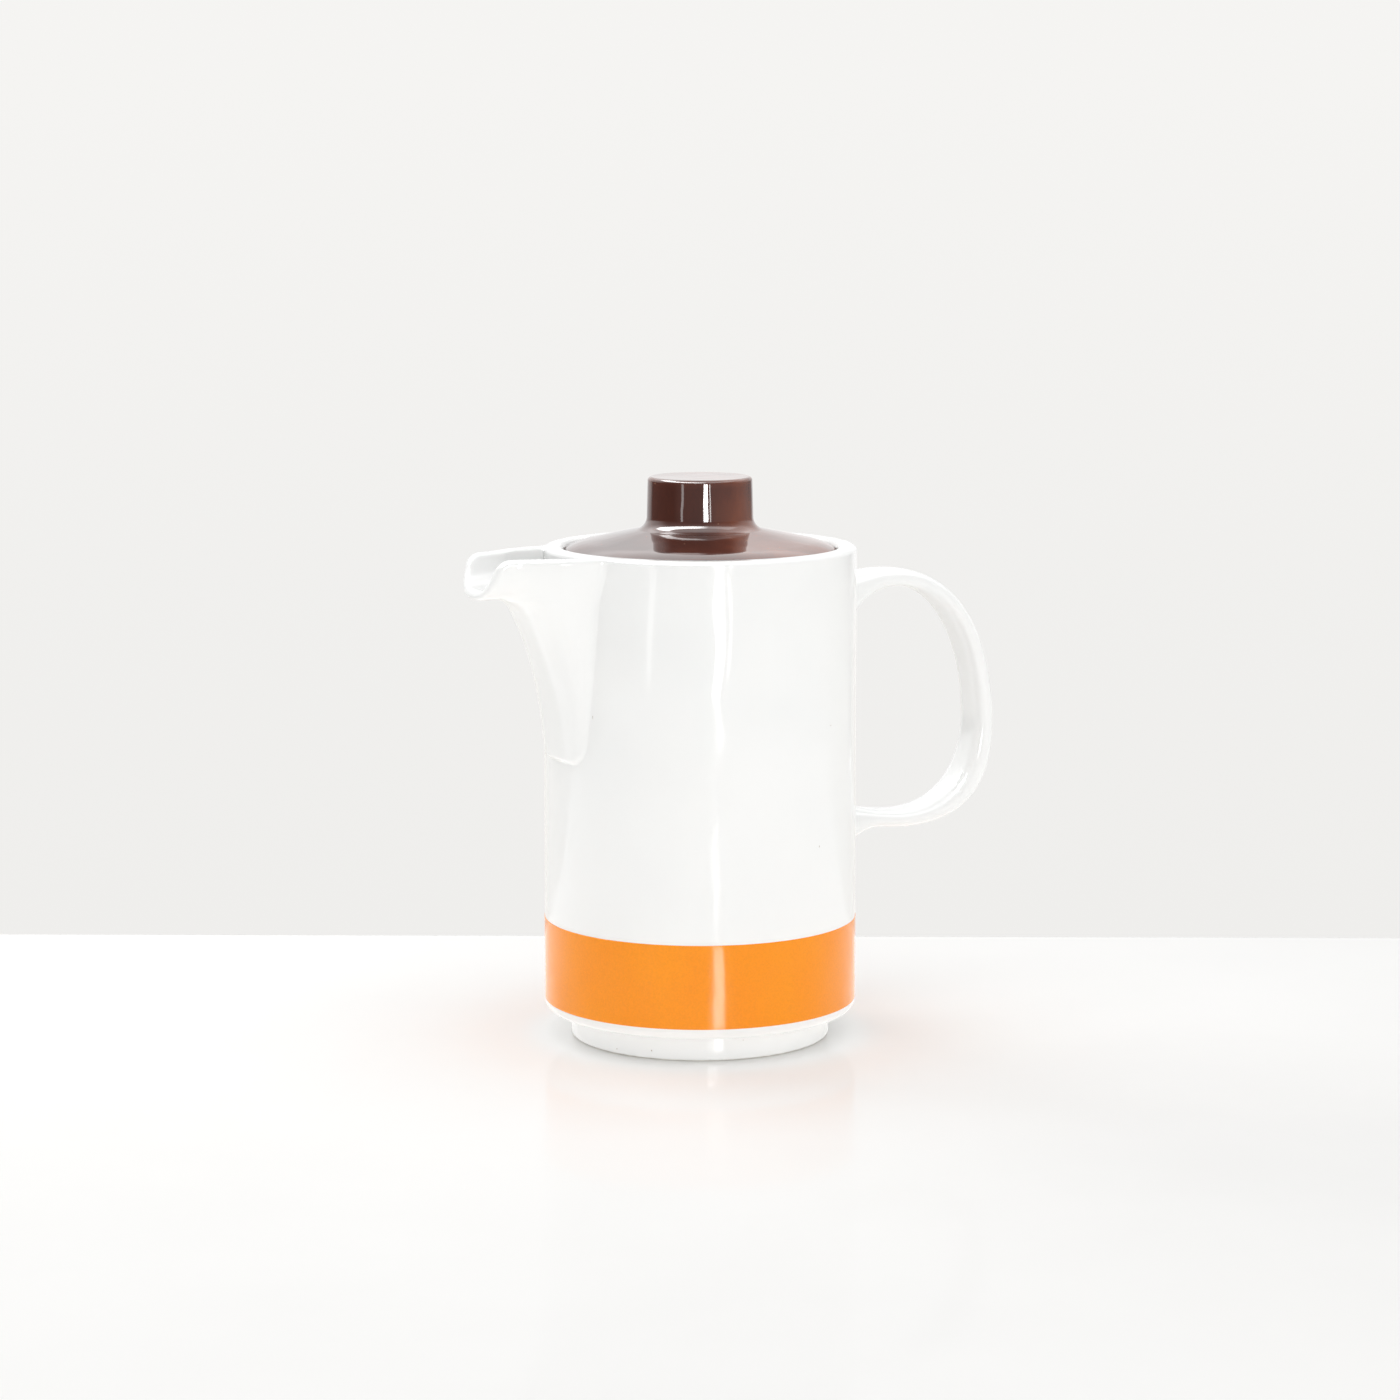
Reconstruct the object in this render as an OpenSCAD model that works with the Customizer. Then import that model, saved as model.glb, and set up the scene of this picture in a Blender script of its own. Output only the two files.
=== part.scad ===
// Porcelain coffee pot: a straight cylinder on an inset foot ring, with an open
// pouring lip on one side, an ear handle on the other, an enamel band round the
// bottom of the wall and a drop-in lid with a round knob.
// Millimetres. The origin is the centre of the foot ring's underside, +Z is up,
// the lip points to -X and the handle to +X.

/* [Pot] */
// Outer diameter of the wall
pot_d = 105; // [96:1:116]
// Height of the rim above the table
rim_h = 166; // [160:1:176]
// Thickness of the wall
wall_t = 4; // [3:0.5:5]
// Thickness of the floor
floor_t = 5; // [4:0.5:7]
// Radius of the bottom corner of the wall
corner_r = 3.4; // [2:0.2:5]

/* [Foot] */
// Height of the foot ring under the floor
foot_h = 9; // [7:0.5:11]
// Outer diameter of the foot ring
foot_d = 87; // [80:0.5:92]
// Width of the foot ring's tread
foot_t = 4.6; // [3.5:0.1:6]

/* [Colour band] */
// Height of the band's lower edge above the table
band_z = 12.8; // [12.4:0.1:20]
// Width of the band up the wall
band_w = 27.8; // [10:0.2:40]
// Thickness of the fired enamel
enamel_t = 0.15; // [0.1:0.05:0.3]

/* [Rim and lid seat] */
// Height of the rim ring that carries the lid
rim_ring_h = 8.6; // [8:0.2:11]
// Width of the flat top of the rim beside the lid
rim_w = 6.7; // [5.5:0.1:7.2]
// Inner diameter of the ledge under the lid
ledge_d = 83; // [80:0.5:86]
// Depth of the seat below the rim
seat_depth = 4.6; // [4:0.1:5]

/* [Lid] */
// Clearance round the lid's edge
lid_gap = 0.6; // [0.4:0.1:1]
// Depth of the lid's edge below the rim
lid_drop = 1; // [0.5:0.1:1.5]
// Rise of the lid from its edge to the knob
lid_rise = 6.1; // [5:0.1:8]
// Thickness of the lid
lid_t = 4; // [3.5:0.1:5]
// Diameter of the knob
knob_d = 35.8; // [30:0.2:40]
// Height of the knob's top above the rim
knob_top = 23.1; // [20:0.1:30]
// Depth of the collar under the lid
collar_h = 11; // [8:0.5:14]
// Thickness of the collar
collar_t = 3.5; // [3:0.1:4.5]
// Width of the locking lug on the collar
lug_w = 14; // [10:1:18]

/* [Pouring lip] */
// Distance from the pot's axis to the lip's foremost point
lip_reach = 84.5; // [78:0.5:90]
// Height of the lip's outer underside
lip_z = 152; // [149:0.5:154]
// Half width of the lip at its tip
lip_hw = 12; // [10:0.5:14]
// Half width of the spout where it leaves the wall at the rim
root_hw = 22.5; // [18:0.5:23.5]
// Height of the spout's lowest point on the wall
spout_z = 97.5; // [90:0.5:104]
// Thickness of the spout's wall
spout_t = 3.4; // [3:0.1:4]
// How far the lip's top corners stay behind its foremost point
lip_rake = 5; // [2:0.5:7]

/* [Handle] */
// Distance from the pot's axis to the outside of the handle
handle_reach = 113.8; // [108:0.2:118]
// Height of the top of the handle
handle_top = 154.6; // [152:0.1:158]
// Height of the bottom of the handle's lower arm
handle_low = 64; // [60:0.1:68]
// Width of the handle's strap
strap_w = 15; // [13:0.5:20]
// Thickness of the upper arm
upper_arm_t = 6.4; // [5:0.1:7]
// Thickness of the strap at its outermost point
grip_t = 7.4; // [6:0.1:8]
// Thickness of the lower arm
lower_arm_t = 6; // [5.5:0.1:7.5]

/* [Hidden] */
$fn = 96;
porcelain = [0.95, 0.96, 0.95];
enamel = [0.97, 0.47, 0.08];
brown_glaze = [0.25, 0.12, 0.10];
pot_r = pot_d / 2;
bore_r = pot_r - wall_t;
foot_r = foot_d / 2;
floor_z = foot_h + floor_t;
wall_top = rim_h - rim_ring_h;
recess_r = pot_r - rim_w;
ledge_r = ledge_d / 2;
seat_z = rim_h - seat_depth;
lid_r = recess_r - lid_gap;
knob_r = knob_d / 2;
knob_wall = 3.6;
neck_fillet = 4.4;
lid_edge_z = rim_h - lid_drop;
shoulder = 1.1;
slope_end = knob_r + neck_fillet;
slope_angle = atan((lid_rise - shoulder) / (lid_r - slope_end));
neck_z = lid_edge_z + lid_rise + neck_fillet / cos(slope_angle);
collar_r = ledge_r - 0.6;
lug_reach = 3;
lug_h = 4;
lug_gap = 0.5;
window_hw = 12;
window_z0 = 112;
window_z1 = 150;

// Points along a circular arc from angle a0 to a1
function arc(cx, cy, r, a0, a1, n = 6) =
    [for (i = [0:n]) let(a = a0 + (a1 - a0) * i / n) [cx + r * cos(a), cy + r * sin(a)]];

// Point at t on a cubic Bezier curve
function bezier(p, t) =
    pow(1 - t, 3) * p[0] + 3 * pow(1 - t, 2) * t * p[1] + 3 * (1 - t) * t * t * p[2] + t * t * t * p[3];

// Cosine and sine flattened for a superellipse of exponent n
function super_cos(a, n) = sign(cos(a)) * pow(abs(cos(a)), 2 / n);
function super_sin(a, n) = sign(sin(a)) * pow(abs(sin(a)), 2 / n);

// Closed solid through a list of rings with the same number of points each
module loft(rings) {
    m = len(rings[0]);
    n = len(rings);
    sides = [for (i = [0:n - 2], j = [0:m - 1], k = [0:1])
        let(a = i * m + j, b = i * m + (j + 1) % m)
        k == 0 ? [a, b, b + m] : [a, b + m, a + m]];
    caps = [[for (j = [m - 1:-1:0]) j], [for (j = [0:m - 1]) (n - 1) * m + j]];
    polyhedron(points = [for (r = rings) each r], faces = concat(sides, caps), convexity = 8);
}

// ---- Pot ----

// Wall and floor in one, with a rounded corner at the bottom and inside
module pot_shell() {
    inside_r = 5;
    rotate_extrude() polygon(concat(
        [[0, foot_h], [pot_r - corner_r, foot_h]],
        arc(pot_r - corner_r, foot_h + corner_r, corner_r, -90, 0),
        [[pot_r, wall_top], [bore_r, wall_top]],
        arc(bore_r - inside_r, floor_z + inside_r, inside_r, 0, -90),
        [[0, floor_z]]));
}

// Opening through the wall behind the spout, round at the bottom
module spout_window() {
    translate([-pot_r - 5, 0, 0]) rotate([90, 0, 90]) linear_extrude(wall_t + 12) union() {
        translate([0, window_z0 + window_hw]) circle(window_hw);
        translate([-window_hw, window_z0 + window_hw])
            square([2 * window_hw, window_z1 - window_z0 - window_hw]);
    }
}

module pot_body() {
    color(porcelain) difference() {
        pot_shell();
        spout_window();
    }
}

// Inset ring under the floor, with rounded edges at the tread
module foot_ring() {
    edge_r = 1.2;
    color(porcelain) rotate_extrude() polygon(concat(
        [[foot_r - foot_t, foot_h]],
        arc(foot_r - foot_t + edge_r, edge_r, edge_r, 180, 270),
        arc(foot_r - edge_r, edge_r, edge_r, -90, 0),
        [[foot_r, foot_h]]));
}

// Rim with the ledge that carries the lid, notched so that the lug lifts through
module rim_ring() {
    outer_edge = 1.8;
    inner_edge = 2.2;
    color(porcelain) difference() {
        rotate_extrude() polygon(concat(
            [[ledge_r, wall_top], [pot_r, wall_top]],
            arc(pot_r - outer_edge, rim_h - outer_edge, outer_edge, 0, 90),
            arc(recess_r + inner_edge, rim_h - inner_edge, inner_edge, 90, 180),
            [[recess_r, seat_z], [ledge_r, seat_z]]));
        notch_r = collar_r + lug_reach + 0.6;
        notch_w = lug_w + 1.6;
        translate([0, -notch_w / 2, wall_top - 1]) intersection() {
            cube([pot_d, notch_w, rim_ring_h + 2]);
            translate([0, notch_w / 2, 0]) cylinder(r = notch_r, h = rim_ring_h + 2);
        }
    }
}

// Stripe of orange enamel fired onto the wall
module colour_band() {
    color(enamel) difference() {
        translate([0, 0, band_z]) cylinder(r = pot_r + enamel_t, h = band_w);
        translate([0, 0, band_z - 1]) cylinder(r = pot_r, h = band_w + 2);
    }
}

// ---- Spout ----

chute_n = 2.8;      // squareness of the chute's level sections
lip_n = 2.6;        // squareness of the lip's cross-sections
root_u = 46;        // where the spout's solid starts, inside the wall
low_hw = 15.7;      // half width of the chute at its foot
foot_round = 7.5;   // radius of the chute's lower corners, seen from the front
foot_z = spout_z - 0.6;
chute_tuck = 0.5;   // how far the chute's sides stay inside the lip's at the rim
chute_nose = 69.6;  // distance from the axis to the chute's front under the lip

// Front line of the chute, as [distance from the axis, height]
function keel(t) = bezier([[pot_r + 1.6, spout_z + 1], [55, spout_z + 18],
                           [58.8, spout_z + 35], [chute_nose, lip_z - 0.5]], t);

// Half width of the chute's root at height z
function chute_hw(z) =
    low_hw + (root_hw - chute_tuck - low_hw) * (z - spout_z) / (rim_h - spout_z) - foot_cut(z);

// How much the rounded lower corner takes from the half width at height z
function foot_cut(z) = let(d = max(0, foot_round - (z - foot_z)))
    foot_round - sqrt(foot_round * foot_round - d * d);

// Half width of the lip's trough at distance u
function trough_hw(u) = root_hw + (lip_hw - root_hw) * (u - root_u) / (lip_reach - root_u);

// Level outline of the chute, drawn in by inset
function chute_ring(nose, z, hw, inset) = let(n = 22)
    [for (i = [0:n]) let(a = -90 + 180 * i / n)
        [-(root_u + (nose - inset - root_u) * super_cos(a, chute_n)), (hw - inset) * super_sin(a, chute_n), z]];

// Upright outline of the lip's trough at distance u, closed along its top
function trough_ring(u, top, inset) = let(n = 18, hw = trough_hw(u) - inset, low = lip_z + inset * 0.9)
    [for (i = [0:n]) let(a = 180 * i / n)
        [-u, -hw * super_cos(a, lip_n), rim_h - (rim_h - low) * super_sin(a, lip_n)],
     [-u, hw, top], [-u, -hw, top]];

module chute(inset, top) {
    steps = 11;
    corner = 0.14;
    foot = keel(0);
    loft(concat(
        [chute_ring(foot[0] - 1.3, foot_z, chute_hw(foot_z), inset)],
        [chute_ring(foot[0] - 0.4, foot_z + 0.5, chute_hw(foot_z + 0.5), inset)],
        [for (i = [0:4]) let(k = keel(corner * i / 5)) chute_ring(k[0], k[1], chute_hw(k[1]), inset)],
        [for (i = [0:steps]) let(k = keel(corner + (1 - corner) * i / steps))
            chute_ring(k[0], k[1], chute_hw(k[1]), inset)],
        [chute_ring(chute_nose + 1, top, chute_hw(rim_h), inset)]));
}

module trough(inset, top, end) {
    loft([for (u = [root_u, end]) trough_ring(u, top, inset)]);
}

module spout() {
    color(porcelain) difference() {
        union() {
            chute(0, rim_h + 1);
            trough(0, rim_h + 1, lip_reach + 3);
        }
        chute(spout_t, rim_h + 5);
        trough(spout_t, rim_h + 5, lip_reach + 8);
        translate([0, 0, spout_z - 10]) cylinder(r = pot_r, h = rim_h);
        translate([-pot_d, -pot_d / 2, rim_h]) cube([pot_d, pot_d, 20]);
        // raked end of the lip
        translate([-lip_reach, 0, lip_z]) rotate([0, atan(lip_rake / (rim_h - lip_z)), 0])
            translate([-30, -30, -10]) cube([30, 60, 60]);
    }
}

// ---- Handle ----

handle_n = 3.2;     // squareness of the strap's section
wide_z = 98;        // height of the handle's outermost point
inner_top = handle_top - upper_arm_t;
inner_low = handle_low + lower_arm_t;
inner_reach = handle_reach - grip_t;

// Outer and inner outline of the handle as cubic stretches from the upper root,
// over the top, round the grip and back along the lower arm
outer_line = [
    [[49, handle_top - 2.3], [56, handle_top - 1.2], [63, handle_top], [70.5, handle_top]],
    [[70.5, handle_top], [handle_reach - 13, handle_top], [handle_reach, wide_z + 29], [handle_reach, wide_z]],
    [[handle_reach, wide_z], [handle_reach, wide_z - 23], [handle_reach - 11, handle_low], [77, handle_low]],
    [[77, handle_low], [66, handle_low + 0.6], [58, handle_low + 5], [51, handle_low - 15]]];
inner_line = [
    [[49, inner_top - 23], [57, inner_top - 9.4], [60, inner_top - 0.2], [74, inner_top]],
    [[74, inner_top], [95.5, inner_top], [inner_reach, wide_z + 27], [inner_reach, wide_z + 3]],
    [[inner_reach, wide_z + 3], [inner_reach, wide_z - 15], [96, inner_low], [77, inner_low]],
    [[77, inner_low], [69, inner_low], [60, inner_low + 2], [49, inner_low + 5.5]]];

// Section of the strap at place t of stretch k, a rounded oblong across the strap
function strap_ring(k, t) = let(
        n = 20,
        out = bezier(outer_line[k], t),
        inn = bezier(inner_line[k], t),
        mid = (out + inn) / 2,
        half = (out - inn) / 2)
    [for (i = [0:n - 1]) let(a = 360 * i / n, c = super_cos(a, handle_n), s = super_sin(a, handle_n))
        [mid[0] + half[0] * c, strap_w / 2 * s, mid[1] + half[1] * c]];

module handle() {
    steps = [7, 12, 12, 7];
    color(porcelain) difference() {
        loft(concat(
            [for (k = [0:3], i = [0:steps[k] - 1]) strap_ring(k, i / steps[k])],
            [strap_ring(3, 1)]));
        translate([0, 0, handle_low - 30]) cylinder(r = pot_r, h = rim_h);
    }
}

// ---- Lid ----

// Upper surface of the lid from its edge to the foot of the knob, a cone that falls away near its edge
function cap_z(r) = let(s = (lid_r - r) / (lid_r - slope_end))
    lid_edge_z + (lid_rise - shoulder) * s + shoulder * (1 - pow(1 - s, 5));

// Shallow cone with a flat seat at its edge and a neck for the knob
module lid_cap() {
    steps = 8;
    edge_r = 1.2;
    hollow_r = knob_r - knob_wall;
    seat_w = 7;
    color(brown_glaze) rotate_extrude() polygon(concat(
        [[lid_r, seat_z]],
        arc(lid_r - edge_r, lid_edge_z + 0.3 - edge_r, edge_r, 0, 62, 5),
        [for (i = [1:steps]) let(r = lid_r - (lid_r - slope_end) * pow(i / steps, 1.3)) [r, cap_z(r)]],
        arc(slope_end, neck_z, neck_fillet, -90 - slope_angle, -180, 6),
        [[hollow_r, neck_z],
         [hollow_r, neck_z - neck_fillet - lid_t],
         [lid_r - seat_w, seat_z]]));
}

// Hollow round knob with a flat top and an eased edge, open to the lid below
module lid_knob() {
    edge_r = 1.3;
    taper = 0.35;
    top_z = rim_h + knob_top;
    hollow_r = knob_r - knob_wall;
    color(brown_glaze) rotate_extrude() polygon(concat(
        [[hollow_r, neck_z], [knob_r, neck_z]],
        arc(knob_r - taper - edge_r, top_z - edge_r, edge_r, 0, 90),
        [[0, top_z], [0, top_z - 4], [hollow_r - 2, top_z - 4], [hollow_r, top_z - 6]]));
}

// Collar that keeps the lid in place inside the ledge
module lid_collar() {
    color(porcelain) difference() {
        translate([0, 0, seat_z - collar_h]) cylinder(r = collar_r, h = collar_h);
        translate([0, 0, seat_z - collar_h - 1]) cylinder(r = collar_r - collar_t, h = collar_h + 2);
    }
}

// Lug on the collar that hooks under the ledge once the lid is turned
module lid_lug() {
    lug_top = wall_top - lug_gap;
    color(porcelain) intersection() {
        difference() {
            translate([0, 0, lug_top - lug_h]) cylinder(r = collar_r + lug_reach, h = lug_h);
            translate([0, 0, lug_top - lug_h - 1]) cylinder(r = collar_r, h = lug_h + 2);
        }
        translate([0, -lug_w / 2, lug_top - lug_h]) cube([pot_r, lug_w, lug_h]);
    }
}

pot_body();
foot_ring();
rim_ring();
colour_band();
spout();
handle();
lid_cap();
lid_knob();
lid_collar();
lid_lug();
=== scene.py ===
"""Looks of the porcelain coffee pot: fine meshes for every piece, glazes, a pale table and soft light."""
import math

import bmesh
import bpy
import numpy as np
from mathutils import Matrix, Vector


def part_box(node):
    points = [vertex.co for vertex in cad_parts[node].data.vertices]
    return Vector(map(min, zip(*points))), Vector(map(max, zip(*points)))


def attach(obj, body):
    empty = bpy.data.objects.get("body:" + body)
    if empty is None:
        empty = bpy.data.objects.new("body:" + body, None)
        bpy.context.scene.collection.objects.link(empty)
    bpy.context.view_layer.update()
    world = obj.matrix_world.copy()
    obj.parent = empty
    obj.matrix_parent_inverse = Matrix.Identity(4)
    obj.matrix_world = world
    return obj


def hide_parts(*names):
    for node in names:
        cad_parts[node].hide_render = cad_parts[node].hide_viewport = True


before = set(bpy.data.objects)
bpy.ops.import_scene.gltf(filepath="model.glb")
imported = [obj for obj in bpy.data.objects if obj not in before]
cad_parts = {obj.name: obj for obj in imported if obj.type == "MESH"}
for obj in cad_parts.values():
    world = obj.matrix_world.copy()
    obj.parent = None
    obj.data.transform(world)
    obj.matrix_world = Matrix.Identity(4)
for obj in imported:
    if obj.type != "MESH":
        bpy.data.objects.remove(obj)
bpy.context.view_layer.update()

MM = 0.001

# ---- Sizes, in millimetres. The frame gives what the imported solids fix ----


def box_mm(node):
    """Lowest and highest corner of a CAD node in millimetres."""
    low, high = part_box(node)
    return low / MM, high / MM


body_low, body_high = box_mm("pot_body")
band_low, band_high = box_mm("colour_band")
spout_low = box_mm("spout")[0]
handle_high = box_mm("handle")[1]
cap_low, cap_high = box_mm("lid_cap")
knob_high = box_mm("lid_knob")[1]
collar_low, collar_high = box_mm("lid_collar")
lug_low, lug_high = box_mm("lid_lug")

POT_R = body_high.x
FLOOR_UNDER = body_low.z
WALL_TOP = body_high.z
RIM_TOP = box_mm("rim_ring")[1].z
FOOT_R = box_mm("foot_ring")[1].x
BAND_R = band_high.y
BAND_LOW = band_low.z
BAND_TOP = band_high.z
LIP_REACH = -spout_low.x
SPOUT_LOW = spout_low.z
HANDLE_REACH = handle_high.x
HANDLE_TOP = handle_high.z
HANDLE_HALF_W = handle_high.y
LID_R = cap_high.x
SEAT_Z = cap_low.z
NECK_Z = cap_high.z
KNOB_R = knob_high.x
KNOB_TOP = knob_high.z
COLLAR_R = collar_high.x
COLLAR_LOW = collar_low.z
LUG_REACH_R = lug_high.x
LUG_LOW = lug_low.z
LUG_TOP = lug_high.z
LUG_HALF_W = lug_high.y

# Sizes that the boxes don't show, as the solids have them.
WALL_T = 4.0
FLOOR_T = 5.0
CORNER_R = 3.4
INNER_CORNER_R = 5.0
FOOT_T = 4.6
FOOT_EDGE = 1.2
FOOT_FILLET = 1.4
FOOT_FLARE = 1.6        # how far the foot's fillet spreads under the floor
RIM_W = 6.7
RIM_OUTER_EDGE = 1.8
RIM_INNER_EDGE = 2.2
LEDGE_R = 41.5
NOTCH_GAP = 0.6         # play round the lug in its notch
NOTCH_SIDE_GAP = 0.8
ENAMEL_EDGE = 0.13
KNOB_WALL = 3.6
KNOB_TOP_T = 4.0
KNOB_DISH = 0.12
LID_T = 4.0
LID_EDGE_Z = RIM_TOP - 1.0
LID_RISE = 6.1
LID_SHOULDER = 1.1      # how far the cone's line passes above the lid's edge
LID_BEND_W = 3.7        # distance from the lid's edge to where the cone bends down
LID_BEND_R = 25.0
LID_SEAT_W = 7.0        # width of the flat under the lid that rests on the ledge
NECK_FILLET = 4.4
KNOB_EDGE = 1.3
KNOB_TAPER = 0.35
COLLAR_T = 3.5
COLLAR_EDGE = 1.4
LUG_EDGE = 0.8
WINDOW_HALF_W = 12.0    # the opening in the wall behind the spout
WINDOW_LOW = 112.0
WINDOW_HIGH = 150.0

LIP_Z = 152.0
LIP_HALF_W = 12.0
LIP_SQUARENESS = 2.6    # 2 is an ellipse, more is squarer
LIP_RAKE = 5.0
ROOT_U = 46.0           # where the spout starts, inside the wall
ROOT_HALF_W = 22.5
CHUTE_TUCK = 0.5
CHUTE_LOW_HALF_W = 15.7
CHUTE_SQUARENESS = 2.8
CHUTE_NOSE = 69.6
CHUTE_CORNER = 7.5      # radius of the chute's lower corners, seen from the front
SPOUT_T = 3.4
SPOUT_PITCH = 0.55      # grid that the spout's mesh is read from
SINK = 0.02             # how far a piece's fillet starts below the wall that it meets
OVERLAP = 0.3           # how far a hidden edge reaches into its neighbour

HANDLE_LOW = 64.0
HANDLE_WIDE_Z = 98.0
HANDLE_SQUARENESS = 2.8
UPPER_ARM_T = 6.4
GRIP_T = 7.4
LOWER_ARM_T = 6.0
HANDLE_FILLET = 0.8     # at the strap's middle line; the sides' fillet is wider by the next value
HANDLE_SIDE_FILLET = 2.4

TURNS = 256             # steps round a turned piece
EXACT = 1e-6            # millimetres; less than this is the same place


# ---- Mesh helpers ----

def add_mesh(name, verts_mm, faces, material):
    """A new smooth-shaded object from points in millimetres."""
    mesh = bpy.data.meshes.new(name)
    mesh.from_pydata((np.asarray(verts_mm) * MM).tolist(), [], faces)
    mesh.materials.append(material)
    mesh.shade_smooth()
    obj = bpy.data.objects.new(name, mesh)
    bpy.context.scene.collection.objects.link(obj)
    return obj


def renew_mesh(obj):
    """Puts the result of an object's modifiers in place of its mesh."""
    graph = bpy.context.evaluated_depsgraph_get()
    mesh = bpy.data.meshes.new_from_object(obj.evaluated_get(graph))
    obj.modifiers.clear()
    obj.data = mesh
    mesh.shade_smooth()


def face_outwards(mesh):
    """Winds all faces of a closed mesh so that they face outwards."""
    bm = bmesh.new()
    bm.from_mesh(mesh)
    bmesh.ops.recalc_face_normals(bm, faces=bm.faces)
    bm.to_mesh(mesh)
    bm.free()


def unit(vectors):
    """Vectors made one long, along the last axis."""
    return vectors / np.maximum(np.linalg.norm(vectors, axis=-1, keepdims=True), 1e-9)


def profile(corners, closed=False, steps=10):
    """Strips of (r, z, normal r, normal z) along a path with rounded corners, the solid on its left.

    Each corner is (r, z, radius). A radius of 0 keeps the corner sharp and starts a new strip.
    """
    count = len(corners)
    strips, strip = [], []
    for i, (r, z, radius) in enumerate(corners):
        here = np.array([r, z])
        before = np.array(corners[i - 1][:2])
        after = np.array(corners[(i + 1) % count][:2])
        way_in, way_out = unit(here - before), unit(after - here)
        if not closed and i == 0:
            strip.append((*here, way_out[1], -way_out[0]))
            continue
        if not closed and i == count - 1:
            strip.append((*here, way_in[1], -way_in[0]))
            continue
        if radius == 0:
            strip.append((*here, way_in[1], -way_in[0]))
            strips.append(strip)
            strip = [(*here, way_out[1], -way_out[0])]
            continue
        turn = math.atan2(way_in[0] * way_out[1] - way_in[1] * way_out[0], way_in @ way_out)
        side = math.copysign(1, turn)
        start = here - way_in * radius * math.tan(abs(turn) / 2)
        centre = start + radius * side * np.array([-way_in[1], way_in[0]])
        heading = math.atan2(way_in[1], way_in[0])
        for k in range(steps + 1):
            a = heading + turn * k / steps
            out = np.array([math.sin(a), -math.cos(a)])
            strip.append((*(centre + radius * side * out), *out))
    if closed:
        strip.append(strips[0][0] if strips else strip[0])
        if strips:
            strips[0] = strip[:-1] + strips[0]
            return [np.array(s) for s in strips]
    strips.append(strip)
    return [np.array(s) for s in strips]


def turned(name, strips, material):
    """A closed turned piece: the strips swept round the Z axis."""
    points = [tuple(p[:2]) for s in strips for p in s]
    path = [p for i, p in enumerate(points) if i == 0 or math.dist(p, points[i - 1]) > EXACT]
    loop = math.dist(path[0], path[-1]) < EXACT
    if loop:
        path = path[:-1]
    angles = np.arange(TURNS) * 2 * math.pi / TURNS
    verts, rings = [], []
    for r, z in path:
        if r < EXACT:
            rings.append([len(verts)] * TURNS)
            verts.append((0, 0, z))
            continue
        rings.append(list(range(len(verts), len(verts) + TURNS)))
        verts += [(r * math.cos(a), r * math.sin(a), z) for a in angles]
    faces = []
    for i in range(len(path) if loop else len(path) - 1):
        low, high = rings[i], rings[(i + 1) % len(path)]
        for k in range(TURNS):
            m = (k + 1) % TURNS
            quad = [low[k], low[m], high[m], high[k]]
            faces.append([v for j, v in enumerate(quad) if v != quad[j - 1]])
    obj = add_mesh(name, verts, faces, material)
    turned_normals(obj.data, strips)
    return obj


def read(items, what, kind=float, size=1):
    """One value or vector of every item of a mesh."""
    values = np.zeros(len(items) * size, kind)
    items.foreach_get(what, values)
    return values.reshape(-1, size) if size > 1 else values


def turned_normals(mesh, strips):
    """Exact normals for the faces that lie on the strips, and flat ones for cuts through them."""
    reach, facing_limit = 0.08, 0.7     # a face this near a strip and turned this much its way is on it
    flat = read(mesh.polygons, "normal", size=3)
    total = read(mesh.polygons, "loop_total", int)
    corner = read(mesh.loops, "vertex_index", int)
    centre = read(mesh.polygons, "center", size=3) / MM
    co = read(mesh.vertices, "co", size=3)[corner] / MM
    face_rz = np.stack([np.hypot(centre[:, 0], centre[:, 1]), centre[:, 2]], 1)
    level = (flat[:, :2] * centre[:, :2]).sum(1) / np.maximum(face_rz[:, 0], EXACT)
    out_rz = np.stack([level, flat[:, 2]], 1)
    gaps = []
    for strip in strips:
        gap, facing = nearest(strip, face_rz)
        gaps.append(np.where((facing * out_rz).sum(-1) < facing_limit, np.inf, gap))
    gaps = np.stack(gaps)
    best = np.repeat(gaps.argmin(0), total)
    on_strip = np.repeat(gaps.min(0) < reach, total)
    rz = np.stack([np.hypot(co[:, 0], co[:, 1]), co[:, 2]], 1)
    way = co[:, :2] / np.maximum(rz[:, :1], EXACT)
    normals = np.repeat(flat, total, axis=0)
    for i, strip in enumerate(strips):
        mine = on_strip & (best == i)
        if mine.any():
            n = nearest(strip, rz[mine])[1]
            normals[mine] = np.concatenate([way[mine] * n[:, :1], n[:, 1:]], 1)
    mesh.normals_split_custom_set(normals.tolist())


def nearest(strip, rz):
    """Distance from points (r, z) to a strip, and the strip's normal there."""
    a, b = strip[:-1, :2], strip[1:, :2]
    along = b - a
    size = np.maximum((along ** 2).sum(1), EXACT ** 2)
    t = np.clip(((rz[:, None] - a) * along).sum(-1) / size, 0, 1)
    gap = np.linalg.norm(rz[:, None] - (a + t[..., None] * along), axis=-1)
    k = gap.argmin(1)
    rows = np.arange(len(rz))
    t = t[rows, k][:, None]
    return gap[rows, k], unit(strip[k, 2:] * (1 - t) + strip[k + 1, 2:] * t)


def cut(obj, cutter, strips):
    """Takes the cutter's volume out of a turned piece and gives it exact normals again."""
    work = obj.modifiers.new("cut", "BOOLEAN")
    work.operation = "DIFFERENCE"
    work.solver = "EXACT"
    work.object = cutter
    renew_mesh(obj)
    bpy.data.objects.remove(cutter)
    turned_normals(obj.data, strips)


def arc_points(radius, angles):
    """Points (x, y) round the axis."""
    return [(radius * math.cos(a), radius * math.sin(a)) for a in angles]


def upright(a, b, c):
    """Stands a prism's outline on the table's plane."""
    return a, b, c


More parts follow.
